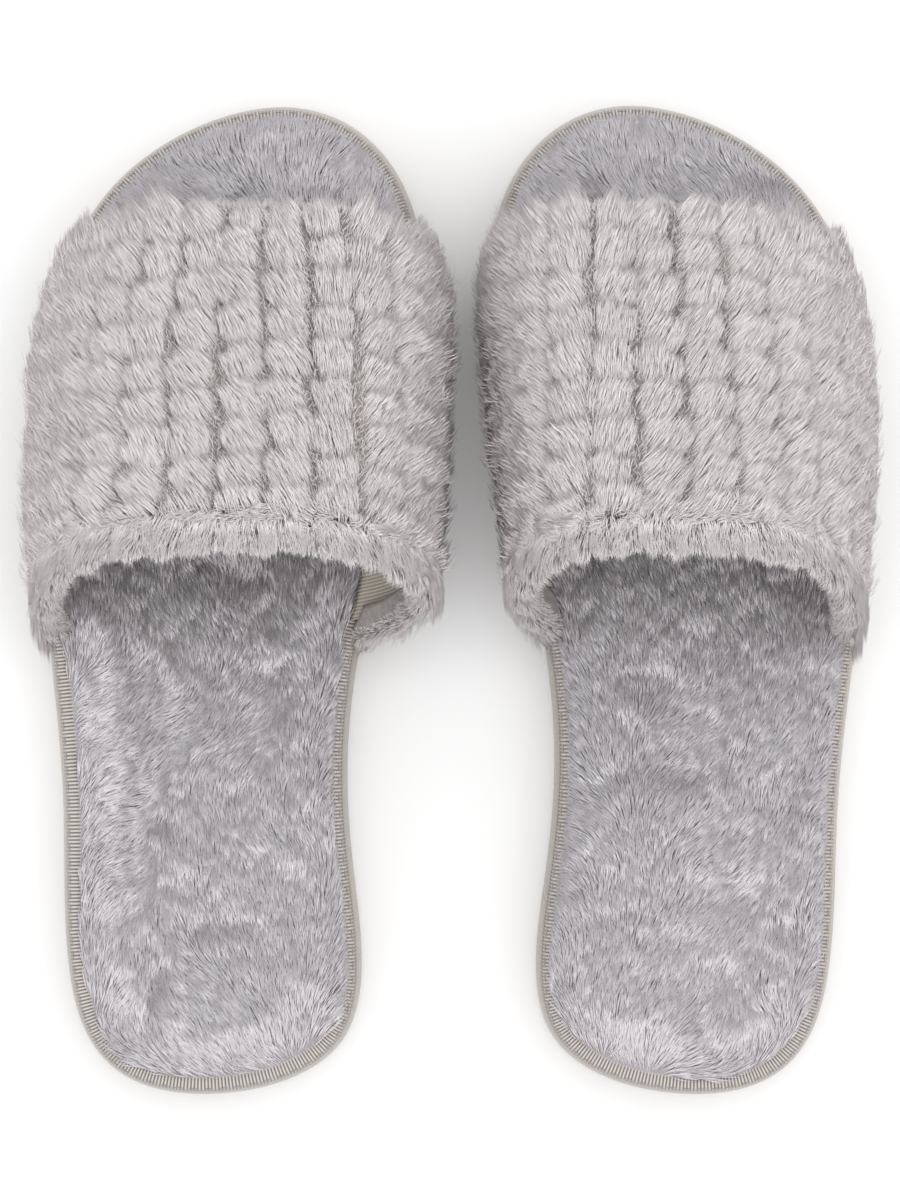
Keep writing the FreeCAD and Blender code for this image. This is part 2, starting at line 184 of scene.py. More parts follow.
def build_mesh(label, name, points, faces, uv=None):
    """A mesh object from slipper points and an array of triangles or quads."""
    mesh = bpy.data.meshes.new(label)
    world = to_world(name, points).astype(np.float32)
    if SIDE[name] < 0:
        faces = faces[:, ::-1]      # the right slipper is mirrored, so its faces turn round
    faces = np.ascontiguousarray(faces, np.int32)
    mesh.vertices.add(len(world))
    mesh.vertices.foreach_set("co", world.ravel())
    mesh.loops.add(faces.size)
    mesh.loops.foreach_set("vertex_index", faces.ravel())
    mesh.polygons.add(len(faces))
    mesh.polygons.foreach_set("loop_start",
                              np.arange(0, faces.size, faces.shape[1], dtype=np.int32))
    mesh.polygons.foreach_set("use_smooth", np.ones(len(faces), bool))
    if uv is not None:
        layer = mesh.uv_layers.new(name="OFBake")
        layer.data.foreach_set("uv", uv.astype(np.float32)[faces.ravel()].ravel())
    mesh.update(calc_edges=True)
    piece = bpy.data.objects.new(label, mesh)
    bpy.context.scene.collection.objects.link(piece)
    return piece


def grid_faces(rows, columns, closed=False):
    """Quads of a grid; closed joins its last row to its first and so for its columns."""
    last_row = rows if closed else rows - 1
    last_column = columns if closed else columns - 1
    r, c = np.meshgrid(np.arange(last_row), np.arange(last_column), indexing="ij")
    r, c = r.ravel(), c.ravel()
    r_next, c_next = (r + 1) % rows, (c + 1) % columns
    return np.stack([r * columns + c, r * columns + c_next,
                     r_next * columns + c_next, r_next * columns + c], axis=1)


def sheet_mesh(label, name, outer, inner, uv=None):
    """A closed thin piece between two grids of the same size. uv is for one grid's points."""
    rows, columns = outer.shape[:2]
    count = rows * columns
    face = grid_faces(rows, columns)
    index = np.arange(count).reshape(rows, columns)
    rim = np.concatenate([index[0, :-1], index[:-1, -1], index[-1, :0:-1], index[:0:-1, 0]])
    rim_next = np.roll(rim, -1)
    side = np.stack([rim_next, rim, rim + count, rim_next + count], axis=1)
    faces = np.concatenate([face, face[:, ::-1] + count, side])
    points = np.concatenate([outer.reshape(-1, 3), inner.reshape(-1, 3)])
    if uv is not None:
        uv = np.concatenate([uv, uv])
    return build_mesh(label, name, points, faces, uv)


def dress(piece, name, material, slot, *replaced):
    """Gives a piece its material and its body, and hides the CAD nodes it stands for; slot is not
    used.
    """
    piece.data.materials.append(material)
    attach(piece, name + "_slipper")
    if replaced:
        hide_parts(*["%s_%s" % (name, node) for node in replaced])
    return piece


# ---------------------------------------- materials


def srgb(r, g, b):
    """Linear colour of an sRGB one given from 0 to 255."""
    linear = []
    for value in (r, g, b):
        v = value / 255
        linear.append(v / 12.92 if v <= 0.04045 else ((v + 0.055) / 1.055) ** 2.4)
    return (*linear, 1.0)


def new_material(label, roughness, specular=0.3):
    material = bpy.data.materials.new(label)
    material.use_nodes = True
    shader = material.node_tree.nodes["Principled BSDF"]
    shader.inputs["Roughness"].default_value = roughness
    shader.inputs["Specular IOR Level"].default_value = specular
    return material, shader


def add_node(material, kind, **inputs):
    node = material.node_tree.nodes.new(kind)
    for socket, value in inputs.items():
        node.inputs[socket.replace("_", " ")].default_value = value
    return node


def link(material, output, target):
    material.node_tree.links.new(output, target)


def ramp(material, source, stops):
    node = add_node(material, "ShaderNodeValToRGB")
    elements = node.color_ramp.elements
    while len(elements) < len(stops):
        elements.new(0.5)
    for element, (position, colour) in zip(elements, stops):
        element.position = position
        element.color = colour
    link(material, source, node.inputs["Fac"])
    return node.outputs["Color"]


def noise_source(material, scale, stretch=(1, 1, 1)):
    """Noise in the object's own coordinates."""
    where = add_node(material, "ShaderNodeTexCoord")
    mapping = add_node(material, "ShaderNodeMapping", Scale=stretch)
    link(material, where.outputs["Object"], mapping.inputs["Vector"])
    noise = add_node(material, "ShaderNodeTexNoise", Scale=scale, Detail=5.0, Roughness=0.6)
    link(material, mapping.outputs["Vector"], noise.inputs["Vector"])
    return noise.outputs["Fac"]


def uv_parts(material):
    uv = add_node(material, "ShaderNodeUVMap")
    uv.uv_map = "OFBake"
    parts = add_node(material, "ShaderNodeSeparateXYZ")
    link(material, uv.outputs["UV"], parts.inputs["Vector"])
    return parts


def fibre_material(label, dark, middle, light):
    """Pile: U picks a fibre's own tone and V runs from its root to its tip; each fibre's first
    part is darkened toward its root as painted shade deep in the pile.
    """
    material, shader = new_material(label, roughness=0.75, specular=0.12)
    parts = uv_parts(material)
    tone = ramp(material, parts.outputs["X"], ((0.0, dark), (0.5, middle), (1.0, light)))
    # painted shade: the colour darkens toward the root, where a fibre lies deep among the others
    shade_by_depth = ramp(material, parts.outputs["Y"],
                 ((0.0, (0.86, 0.84, 0.84, 1)), (0.22, (0.96, 0.95, 0.95, 1)),
                  (0.45, (1, 1, 1, 1))))
    blend = add_node(material, "ShaderNodeMix")
    blend.data_type = "RGBA"
    blend.blend_type = "MULTIPLY"
    blend.inputs["Factor"].default_value = 1.0
    colour_a, colour_b = [s for s in blend.inputs if s.type == "RGBA"]
    link(material, tone, colour_a)
    link(material, shade_by_depth, colour_b)
    link(material, next(s for s in blend.outputs if s.type == "RGBA"), shader.inputs["Base Color"])
    return material


def cloth_look(material, shader, colour, grain, bump, distance):
    """Gives a material's shader a colour and a fine relief."""
    link(material, colour, shader.inputs["Base Color"])
    relief = add_node(material, "ShaderNodeBump", Strength=bump, Distance=distance)
    link(material, grain, relief.inputs["Height"])
    link(material, relief.outputs["Normal"], shader.inputs["Normal"])
    return material


def ribbed_material(label, groove_shade, crest, scale, roughness):
    """Ribbed cloth: V runs from the grooves of its ribs, at 0, to their crests, at 1; the grooves
    get a darker colour as painted shade.
    """
    material, shader = new_material(label, roughness)
    # painted shade: the colour darkens from the crests, the cloth's own colour, down into the
    # grooves
    colour = ramp(material, uv_parts(material).outputs["Y"], ((0.15, groove_shade), (0.85, crest)))
    return cloth_look(material, shader, colour, noise_source(material, scale), 0.3, 0.0002)


def mottled_material(label, dark, light, scale, roughness, bump=0.2, distance=0.0003,
                     stretch=(1, 1, 1)):
    material, shader = new_material(label, roughness)
    grain = noise_source(material, scale, stretch)
    colour = ramp(material, grain, ((0.3, dark), (0.7, light)))
    return cloth_look(material, shader, colour, grain, bump, distance)


BAND_FIBRE = fibre_material("band_fibre", srgb(184, 177, 176), srgb(234, 228, 228),
                            srgb(248, 244, 244))
SOCK_FIBRE = fibre_material("sock_fibre", srgb(200, 195, 199), srgb(229, 225, 229),
                            srgb(240, 237, 240))
# the band's knitted backing: its own mottled grey, made darker as painted shade where it shows
# between the tufts
BAND_BACKING = mottled_material("band_backing", srgb(146, 139, 138), srgb(176, 169, 168),
                                900.0, 0.9)
SOCK_BACKING = mottled_material("sock_backing", srgb(146, 141, 145), srgb(174, 169, 173),
                                900.0, 0.9)
# the first colour of each ribbed cloth is painted shade in its grooves, the second the cloth's own
# colour
TWILL = ribbed_material("lining_twill", srgb(158, 150, 140), srgb(204, 195, 184), 1500.0, 0.85)
TAPE = ribbed_material("cover_tape", srgb(112, 106, 103), srgb(208, 201, 196), 1800.0, 0.8)
THREAD = mottled_material("thread", srgb(138, 132, 128), srgb(170, 164, 160), 2500.0, 0.7)
RUBBER = mottled_material("outsole_rubber", srgb(184, 178, 172), srgb(200, 194, 188),
                          1400.0, 0.62, bump=0.25, distance=0.0002)
BOARD = mottled_material("insole_board", srgb(150, 126, 98), srgb(180, 156, 126),
                         700.0, 0.85, stretch=(1, 0.3, 1))
FOAM = mottled_material("foam", srgb(214, 210, 200), srgb(232, 229, 220), 1200.0, 0.95)

# ---------------------------------------- sole outline

OUTLINE_POINTS = 1440
OUTSOLE_MID = 4.0       # a height inside the outsole's wall


def sole_outline(name):
    """The outsole's edge seen from above, evenly spaced, counter-clockwise."""
    tree = cad_tree(name, "outsole")
    points = []
    for angle in np.linspace(0, 2 * math.pi, OUTLINE_POINTS + 1):
        direction = np.array([math.cos(angle), math.sin(angle), 0.0])
        points.append(cast(tree, direction * 300 + [0, 0, OUTSOLE_MID], -direction))
    ring = np.array(points)
    ring[:, 2] = 0
    ring = resample(ring, OUTLINE_POINTS + 1)[:-1]
    for _ in range(8):
        ring = 0.25 * np.roll(ring, 1, axis=0) + 0.5 * ring + 0.25 * np.roll(ring, -1, axis=0)
    return ring


def ring_normals(ring):
    ahead = np.roll(ring, -1, axis=0) - np.roll(ring, 1, axis=0)
    return unit(np.stack([ahead[:, 1], -ahead[:, 0], np.zeros(len(ring))], axis=1))


def ring_tree(ring):
    tree = KDTree(len(ring))
    for i, point in enumerate(ring):
        tree.insert(point, i)
    tree.balance()
    return tree


OUTLINE = {name: sole_outline(name) for name in NAMES}
OUTWARD = {name: ring_normals(ring) for name, ring in OUTLINE.items()}
OUTLINE_TREE = {name: ring_tree(ring) for name, ring in OUTLINE.items()}
PERIMETER = {name: float(np.linalg.norm(np.roll(ring, -1, axis=0) - ring, axis=1).sum())
             for name, ring in OUTLINE.items()}


def dense_ring(name, count):
    """The outline with count points and its outward directions."""
    at = np.arange(OUTLINE_POINTS + 1) / OUTLINE_POINTS
    want = np.arange(count) / count
    found = []
    for table in (OUTLINE[name], OUTWARD[name]):
        closed = np.concatenate([table, table[:1]])
        found.append(np.stack([np.interp(want, at, closed[:, k]) for k in range(3)], axis=1))
    return found[0], unit(found[1])


def edge_distance(name, points):
    """How far points lie inside the outline, and the outward direction of the nearest edge."""
    nearest = np.array([OUTLINE_TREE[name].find((p[0], p[1], 0.0))[1] for p in points])
    outward = OUTWARD[name][nearest]
    inside = ((OUTLINE[name][nearest] - points) * outward)[:, :2].sum(axis=1)
    return inside, outward


# ---------------------------------------- fibres

FIBRES_PER_PIECE = 19000
FIBRE_WIDTHS = (0.18, 0.26)
FIBRE_SIDES = 3
FIBRE_ANGLES = np.radians((90, 210, 330))    # a flat side faces away from the cloth
FIBRE_WAVE = 0.22        # how far a fibre's middle strays to the side
TONE_STEPS = 32


def add_pile(label, name, material, slot, root, lean, normal, reach, rise, width, tone, bow,
             rng):
    """Tapered fibres as closed meshes. lean is the direction in which each one lies; its tip
    is reach further along lean and rise higher than its root. tone is from 0, dark, to 1,
    and bow is how upright a fibre starts."""
    reach, rise, width, bow = (np.broadcast_to(v, len(root)) for v in (reach, rise, width, bow))
    side = unit(np.cross(lean, normal))
    middle = root + lean * (reach * (0.6 - bow))[:, None] + normal * (rise * (0.6 + bow))[:, None]
    middle += side * rng.normal(0, FIBRE_WAVE, len(root))[:, None]
    tip = root + lean * reach[:, None] + normal * rise[:, None]
    axis = unit(tip - root)
    third = unit(np.cross(axis, side))
    points = []
    for centre, size in ((root, 0.5), (middle, 0.5)):
        radius = (width * size)[:, None]
        for angle in FIBRE_ANGLES:
            points.append(centre + radius * (side * math.cos(angle) + third * math.sin(angle)))
    points.append(tip)
    points = np.stack(points, axis=1)
    per = points.shape[1]
    faces = [(0, 2, 1)]
    for k in range(FIBRE_SIDES):
        k_next = (k + 1) % FIBRE_SIDES
        faces += [(k, k_next, k_next + FIBRE_SIDES), (k, k_next + FIBRE_SIDES, k + FIBRE_SIDES),
                  (k + FIBRE_SIDES, k_next + FIBRE_SIDES, per - 1)]
    faces = np.array(faces)
    column = np.clip(tone * TONE_STEPS, 0, TONE_STEPS - 1).astype(int)
    spread = np.array([0.15, 0.5, 0.85, 0.15, 0.5, 0.85, 0.5])
    v = np.broadcast_to(np.array([0.02, 0.02, 0.02, 0.5, 0.5, 0.5, 0.98]), (len(root), per))
    uv = np.stack([(column[:, None] + spread) / TONE_STEPS, v], axis=2)
    order = rng.permutation(len(root))
    pieces = []
    for number, start in enumerate(range(0, len(root), FIBRES_PER_PIECE), start=1):
        some = order[start:start + FIBRES_PER_PIECE]
        first = np.arange(len(some))[:, None, None] * per
        piece = build_mesh("%s_%d" % (label, number), name, points[some].reshape(-1, 3),
                           (faces[None] + first).reshape(-1, 3), uv[some].reshape(-1, 2))
        pieces.append(dress(piece, name, material, slot))
    return pieces


# ---------------------------------------- stitches

STITCH_LENGTH = 2.6
STITCH_PITCH = 4.0
# sections of one stitch: share of its length, rise above the cloth, radius
STITCH_SECTIONS = ((-0.5, -0.3, 0.08), (-0.4, -0.04, 0.13), (-0.18, 0.08, 0.16),
                   (0.18, 0.08, 0.16), (0.4, -0.04, 0.13), (0.5, -0.3, 0.08))


def stitch_mesh(label, name, centre, along, up):
    """One closed thread capsule at each centre, its ends dipping into the cloth."""
    sides = 8
    side = unit(np.cross(along, up))
    rings = []
    for share, rise, radius in STITCH_SECTIONS:
        middle = centre + along * share * STITCH_LENGTH + up * rise
        for k in range(sides):
            angle = 2 * math.pi * k / sides
            rings.append(middle + radius * (up * math.cos(angle) + side * math.sin(angle)))
    points = np.stack(rings, axis=1)
    faces = []
    for section in range(len(STITCH_SECTIONS) - 1):
        for k in range(sides):
            a = section * sides + k
            b = section * sides + (k + 1) % sides
            faces.append((a, b, b + sides, a + sides))
    last = (len(STITCH_SECTIONS) - 1) * sides
    for quad in ((0, 1, 2, 3), (0, 3, 4, 7), (4, 5, 6, 7)):
        faces.append(quad[::-1])
        faces.append(tuple(last + k for k in quad))
    first = np.arange(len(points))[:, None, None] * points.shape[1]
    return build_mesh(label, name, points.reshape(-1, 3),
                      (np.array(faces)[None] + first).reshape(-1, 4))


# ---------------------------------------- platform cover

TAPE_RIB_PITCH = 0.95
TAPE_RIB_HEIGHT = 0.15
TAPE_RIB_STEPS = 4
# The tape's section: distance inward from the outsole's edge, height, and how much of the ribs'
# relief, and of the painted shade in their grooves, shows there. It runs over the top lip, down
# the wall and under the board.
TAPE_SECTION = (
    (5.4, 22.3, 1.0), (3.4, 22.4, 1.0), (2.4, 22.2, 0.8), (1.65, 21.6, 0.4), (1.5, 20.6, 0.8),
    (1.45, 17.0, 1.0), (1.45, 13.0, 1.0), (1.5, 9.6, 1.0), (1.8, 8.4, 0.6), (2.8, 8.05, 0.0),
    (10.8, 8.05, 0.0), (10.8, 8.9, 0.0), (2.75, 8.9, 0.0), (2.75, 20.9, 0.0), (5.4, 21.1, 0.0),
)
SEAM_INSET = 2.05
SEAM_HEIGHT = 22.05


def make_cover(name):
    ribs = round(PERIMETER[name] / TAPE_RIB_PITCH)
    ring, outward = dense_ring(name, ribs * TAPE_RIB_STEPS)
    wave = np.sin(2 * math.pi * np.arange(len(ring)) / TAPE_RIB_STEPS)
    section = np.array(TAPE_SECTION)
    lean = np.roll(section[:, :2], -1, axis=0) - np.roll(section[:, :2], 1, axis=0)
    # the section runs from the inside out and down, so its outward side is to its right
    normal = unit(np.stack([-lean[:, 1], lean[:, 0]], axis=1))
    points = np.empty((len(ring), len(section), 3))
    uv = np.empty((len(ring), len(section), 2))
    for k, (inset, height, relief) in enumerate(section):
        lift = TAPE_RIB_HEIGHT * relief * wave[:, None]
        points[:, k] = ring - outward * (inset + lift * normal[k, 0])
        points[:, k, 2] = height + lift[:, 0] * -normal[k, 1]
        uv[:, k, 0] = k / len(section)
        # V follows the ribs' relief, so the tape's material paints shade in their grooves
        uv[:, k, 1] = 0.5 + 0.5 * relief * wave
    piece = build_mesh(name + "_cover_tape", name, points.reshape(-1, 3),
                       grid_faces(len(ring), len(section), closed=True), uv.reshape(-1, 2))
    return dress(piece, name, TAPE, "cover_tape", "platform_cover")


def make_rim_stitches(name):
    count = round(PERIMETER[name] / STITCH_PITCH)
    ring, outward = dense_ring(name, count)
    centre = ring - outward * SEAM_INSET
    centre[:, 2] = SEAM_HEIGHT
    along = np.stack([-outward[:, 1], outward[:, 0], outward[:, 2]], axis=1)
    up = np.tile([0.0, 0.0, 1.0], (count, 1))
    piece = stitch_mesh(name + "_rim_stitches", name, centre, along, up)
    return dress(piece, name, THREAD, "thread", "perimeter_stitching")


# ---------------------------------------- footbed

SOCK_EDGE = 4.3         # where the plush starts, inward from the outsole's edge
SOCK_BOTTOM = 21.05
SOCK_SEAM_HEIGHT = 22.0
SOCK_CROWN = 1.9
SOCK_ROWS, SOCK_COLUMNS = 120, 45
SOCK_DENSITY = 4.0
SOCK_REACH, SOCK_RISE = 7.4, 2.2
SOCK_RISE_LIMITS = (1.0, 4.2)
EDGE_TURN = 7.0         # the pile turns outward this close to the plush's edge
SWIRLS = ((85, 34.0), (24, 11.0), (13, 4.0))     # degrees and size of the footbed's swirls
SPOT_PITCH = 13.0       # between the few spots where the pile parts, darkened with painted shade
TAPE_SHOWN = 2.9        # fibres stop about here, inward from the outsole's edge


def sock_height(inside):
    """Height of the footbed's backing at a distance inside the outline."""
    return SOCK_SEAM_HEIGHT + SOCK_CROWN * smooth_step(inside, SOCK_EDGE - 2.0, SOCK_EDGE + 9.0)


def sock_surface(name):
    ring = OUTLINE[name] - OUTWARD[name] * SOCK_EDGE
    low, high = ring[:, 1].min() + 0.25, ring[:, 1].max() - 0.25
    shares = 0.5 - 0.5 * np.cos(np.linspace(0, math.pi, SOCK_ROWS))
    rows = []
    for y in mix(low, high, mix(np.linspace(0, 1, SOCK_ROWS), shares, 0.75)):
        before, after = ring, np.roll(ring, -1, axis=0)
        crossing = (before[:, 1] - y) * (after[:, 1] - y) <= 0
        a, b = before[crossing], after[crossing]
        share = (y - a[:, 1]) / np.where(np.abs(b[:, 1] - a[:, 1]) < 1e-9, 1e-9, b[:, 1] - a[:, 1])
        x = mix(a[:, 0], b[:, 0], np.clip(share, 0, 1))
        columns = np.linspace(x.min(), x.max(), SOCK_COLUMNS)
        rows.append(np.stack([columns, np.full(SOCK_COLUMNS, y), np.zeros(SOCK_COLUMNS)], axis=1))
    return np.array(rows)


def make_sock(name):
    top = sock_surface(name)
    inside, _ = edge_distance(name, top.reshape(-1, 3))
    top[..., 2] = sock_height(inside).reshape(top.shape[:2])
    bottom = top.copy()
    bottom[..., 2] = SOCK_BOTTOM
    piece = sheet_mesh(name + "_sock_plush", name, top, bottom)
    dress(piece, name, SOCK_BACKING, "sock_plush", "sock_lining")
    return piece


def make_sock_pile(name):
    rng = np.random.default_rng(SEED[name] + 100)
    low, high = OUTLINE[name].min(axis=0), OUTLINE[name].max(axis=0)
    count = int(SOCK_DENSITY * (high[0] - low[0]) * (high[1] - low[1]))
    root = np.stack([rng.uniform(low[0], high[0], count), rng.uniform(low[1], high[1], count),
                     np.zeros(count)], axis=1)
    inside, outward = edge_distance(name, root)
    keep = inside > SOCK_EDGE + 0.3
    root, inside, outward = root[keep], inside[keep], outward[keep]
    count = len(root)
    x, y = root[:, 0], root[:, 1]
    # toward the toes, turned by swirls of a few sizes
    turned = 90 + sum(degrees * value_noise(x, y, pitch, rng) for degrees, pitch in SWIRLS)
    heading = np.radians(turned + 6 * rng.normal(size=count))
    lean = np.stack([np.cos(heading), np.sin(heading), np.zeros(count)], axis=1)
    clump = value_noise(x, y, 2.6, rng)
    parting_and_shade = smooth_step(value_noise(x, y, SPOT_PITCH, rng), 0.55, 0.85)    # where the pile parts; the fibres there are lower and darkened with painted shade
    reach = SOCK_REACH * (1 + 0.12 * clump + 0.1 * rng.normal(size=count))
    rise = SOCK_RISE * (1 + 0.25 * value_noise(x, y, 8.0, rng) + 0.12 * clump - 0.3 * parting_and_shade)
    # near the edge the fibres turn outward and stop over the tape
    turn = 1 - smooth_step(inside, SOCK_EDGE, SOCK_EDGE + EDGE_TURN)
    lean = unit(lean + outward * (0.7 * turn)[:, None])
    heading_out = (lean * outward).sum(axis=1)
    room = inside - TAPE_SHOWN + 0.35 * rng.normal(size=count)
    longest = np.maximum(room, 0.5) / np.maximum(heading_out, 0.05)
    reach = np.where(heading_out > 0.05, np.minimum(reach, longest), reach)
    root[:, 2] = sock_height(inside) - 0.3
    normal = np.tile([0.0, 0.0, 1.0], (count, 1))
    # tone: fibres where the pile parts are darkened as painted shade
    return add_pile(name + "_sock_pile", name, SOCK_FIBRE, "sock_plush", root, lean, normal,
                    reach, np.clip(rise, *SOCK_RISE_LIMITS), rng.uniform(*FIBRE_WIDTHS, count),
                    0.45 + 0.1 * clump + 0.1 * rng.normal(size=count) - 0.4 * parting_and_shade, 0.16, rng)


# ---------------------------------------- band surfaces

ARCH_COLUMNS = 161      # points round the arch
EYE_HEIGHT = 38.0       # the arch is looked at from a line inside it, at this height
RIM_HEIGHT = 22.2       # top of the cover, on which the band's inner layers stand
SKIRT_HEIGHT = 13.4     # just above the lower edge of the furry layer
BACKING = 1.0           # knitted backing of the furry layer
FUR_USUAL = 6.5         # thickness of the furry layer where it can't be measured
FUR_LIMITS = (5.5, 9.5)


def band_edges(name):
    """Where the band's rear and front edges meet the rim, and how they lean in side view."""
    points = cad_points(name, "band_fur")
    near_rim = points[np.abs(points[:, 2] - RIM_HEIGHT) < 4.0]
    edges = []
    for foot, crown in ((near_rim[:, 1].min(), points[np.argmax(points[:, 2])]),
                        (near_rim[:, 1].max(), points[np.argmax(points[:, 1])])):
        edges.append((foot, (crown[1] - foot) / (crown[2] - RIM_HEIGHT)))
    return edges


def band_surface(name, piece, outside, floor, shares):
    """Rows of points round the arch on one face of a CAD layer, from rear to front."""
    tree = cad_tree(name, piece)
    (rear, rear_slope), (front, front_slope) = band_edges(name)
    rows = []
    for share in shares:
        foot = mix(rear, front, share)
        slope = mix(rear_slope, front_slope, share)
        near = OUTLINE[name][np.abs(OUTLINE[name][:, 1] - foot) < 2.0]
        middle = (near[:, 0].min() + near[:, 0].max()) / 2
        eye = np.array([middle, foot + slope * (EYE_HEIGHT - RIM_HEIGHT), EYE_HEIGHT])
        line = []
        for angle in np.radians(np.linspace(225, -45, 361)):
            ray = unit(np.array([math.cos(angle), slope * math.sin(angle), math.sin(angle)]))
            if outside:
                hit = cast(tree, eye + ray * 200, -ray, 200)
            else:
                hit = cast(tree, eye, ray)
            if hit is not None and hit[2] > floor:
                line.append(hit)
        rows.append(resample(np.array(line), ARCH_COLUMNS))
    return relax(np.array(rows), 2)


REAR_INSET, FRONT_INSET = 0.075, 0.955    # where the folds start, as shares of the band
MAIN_ROWS = 81
FOLD_ROWS = 9
UNDER_ROWS = 4
UNDER_LENGTH = 6.0       # how far the furry layer turns under onto the lining
TURNED_IN = 0.8          # thickness of the turned-in part
INNER_LAYERS = 3.8       # foam, lining and the turned-in part together


def fold_rows(edge, inner, outward_way):
    """Rows from the end of the outer face round the edge and a little way under."""
    centre = (edge + inner) / 2
    radius = np.linalg.norm(edge - inner, axis=1, keepdims=True) / 2
    bulge = np.minimum(radius, 2.6)
    rows = []
    for angle in np.linspace(0, math.pi, FOLD_ROWS + 1)[1:]:
        rows.append(centre + (edge - centre) * math.cos(angle)
                    + outward_way * bulge * math.sin(angle))
    for share in np.linspace(0, 1, UNDER_ROWS + 1)[1:]:
        rows.append(inner - outward_way * UNDER_LENGTH * share)
    return rows


def pelt_surface(name):
    """The face of the furry layer's backing: turned under at the rear, over the band and
    turned under at the front."""
    shares = np.linspace(REAR_INSET, FRONT_INSET, MAIN_ROWS)
    outer = band_surface(name, "band_fur", True, SKIRT_HEIGHT, shares)
    normal = grid_frame(outer)[2]
    fur = cad_tree(name, "band_fur")
    thickness = np.zeros(outer.shape[:2])
    measured = np.arange(0, MAIN_ROWS, 4)
    for r in measured:
        for c in range(ARCH_COLUMNS):
            hit = cast(fur, outer[r, c] - normal[r, c] * 0.4, -normal[r, c], 20)
            thickness[r, c] = FUR_USUAL if hit is None else np.linalg.norm(hit - outer[r, c])
    for c in range(ARCH_COLUMNS):
        thickness[:, c] = np.interp(np.arange(MAIN_ROWS), measured, thickness[measured, c])
    thickness = relax(np.clip(thickness, *FUR_LIMITS), 12)
    main = outer - normal * (thickness - BACKING)[..., None]
    _, along, normal = grid_frame(main)
    # the inner layers end at the rim, and below it the furry layer is on its own
    above = smooth_step(main[..., 2], RIM_HEIGHT - 2.5, RIM_HEIGHT + 1.0)[..., None]
    inner = main - normal * (BACKING + INNER_LAYERS * above)
    rear = fold_rows(main[0], inner[0], -along[0])
    front = fold_rows(main[-1], inner[-1], along[-1])
    return np.array(rear[::-1] + list(main) + front), thickness


LEAD_ROWS = FOLD_ROWS + UNDER_ROWS       # rows before the outer face starts

BAND = {}
for slipper in NAMES:
    surface, fur_thickness = pelt_surface(slipper)
    BAND[slipper] = {"surface": surface, "thickness": fur_thickness,
                     "frame": np.concatenate([surface, *grid_frame(surface)], axis=2)}

# ---------------------------------------- band pieces

RIDGE_PITCH = 11.0
LUMP_HEIGHT = 1.3
LUMP_SQUARENESS = 2.4
LINING_RIB_PITCH = 0.9
LINING_RIB_HEIGHT = 0.22
LINING_RIB_STEPS = 4


def arch_length(name):
    """Length round the arch at its middle row."""
    row = BAND[name]["surface"][LEAD_ROWS + MAIN_ROWS // 2]
    return float(gaps(row).sum())


def ridge_count(name):
    return round(arch_length(name) / RIDGE_PITCH)


def lump_at(name, column):
    """How high the backing's ridges stand."""
    ridge = column / (ARCH_COLUMNS - 1) * ridge_count(name)
    return LUMP_HEIGHT * (1 - np.abs((ridge % 1.0) * 2 - 1) ** LUMP_SQUARENESS)


def make_pelt(name):
    surface = BAND[name]["surface"].copy()
    normal = grid_frame(surface)[2]
    rows = np.arange(len(surface))
    fade = (smooth_step(rows, LEAD_ROWS + 4, LEAD_ROWS + 12)
            * (1 - smooth_step(rows, LEAD_ROWS + MAIN_ROWS - 8, LEAD_ROWS + MAIN_ROWS - 1)))
    lump = lump_at(name, np.arange(ARCH_COLUMNS))[None, :] * fade[:, None]
    inner = surface - normal * TURNED_IN
    piece = sheet_mesh(name + "_band_pelt", name, surface + normal * lump[..., None], inner)
    return dress(piece, name, BAND_BACKING, "band_fur", "band_fur")


def layer_faces(name, piece, margin):
    """The outer and inner face of one of the band's inner layers, short of the folds."""
    shares = np.linspace(REAR_INSET + margin, FRONT_INSET - margin, 41)
    floor = RIM_HEIGHT + 0.3
    return (band_surface(name, piece, True, floor, shares),
            band_surface(name, piece, False, floor, shares))


def make_band_foam(name):
    outer, inner = layer_faces(name, "band_foam", 0.015)
    piece = sheet_mesh(name + "_band_padding", name, outer, mix(inner, outer, 0.06))
    dress(piece, name, FOAM, "foam", "band_foam")
    return piece


def make_band_lining(name):
    outer, inner = (face[:, ::2] for face in layer_faces(name, "band_lining", 0.01))
    length = gaps(inner).sum(axis=0).mean()
    count = round(length / LINING_RIB_PITCH) * LINING_RIB_STEPS
    at = np.linspace(0, len(inner) - 1, count + 1)
    low = np.minimum(at.astype(int), len(inner) - 2)
    share = (at - low)[:, None, None]
    outer, inner = (mix(face[low], face[low + 1], share) for face in (outer, inner))
    wave = 0.5 + 0.5 * np.cos(2 * math.pi * np.arange(count + 1) / LINING_RIB_STEPS)
    ribbed = inner - unit(outer - inner) * (LINING_RIB_HEIGHT * wave)[:, None, None]
    # V follows the ribs, so the twill's material paints shade in their grooves
    across, shade_by_depth = np.meshgrid(np.linspace(0, 1, inner.shape[1]), wave)
    uv = np.stack([across.ravel(), shade_by_depth.ravel()], axis=1)
    piece = sheet_mesh(name + "_band_twill", name, outer, ribbed, uv)
    return dress(piece, name, TWILL, "lining_twill", "band_lining"), flat_size(inner)


def make_topline_stitches(name, which, row):
    """Stitches that hold the turned-in edge, on its inner face."""
    line = BAND[name]["surface"][row]
    normal = grid_frame(BAND[name]["surface"])[2][row]
    standing = line[:, 2] > RIM_HEIGHT + 6.0
    line, normal = line[standing], normal[standing]
    count = round(gaps(line).sum() / STITCH_PITCH)
    centre = resample(line, count)
    up = unit(resample(normal, count))
    along = unit(np.gradient(centre, axis=0))
    piece = stitch_mesh("%s_%s_topline_stitches" % (name, which), name, centre, along, up)
    return dress(piece, name, THREAD, "thread", which + "_topline_stitching")


# ---------------------------------------- band pile

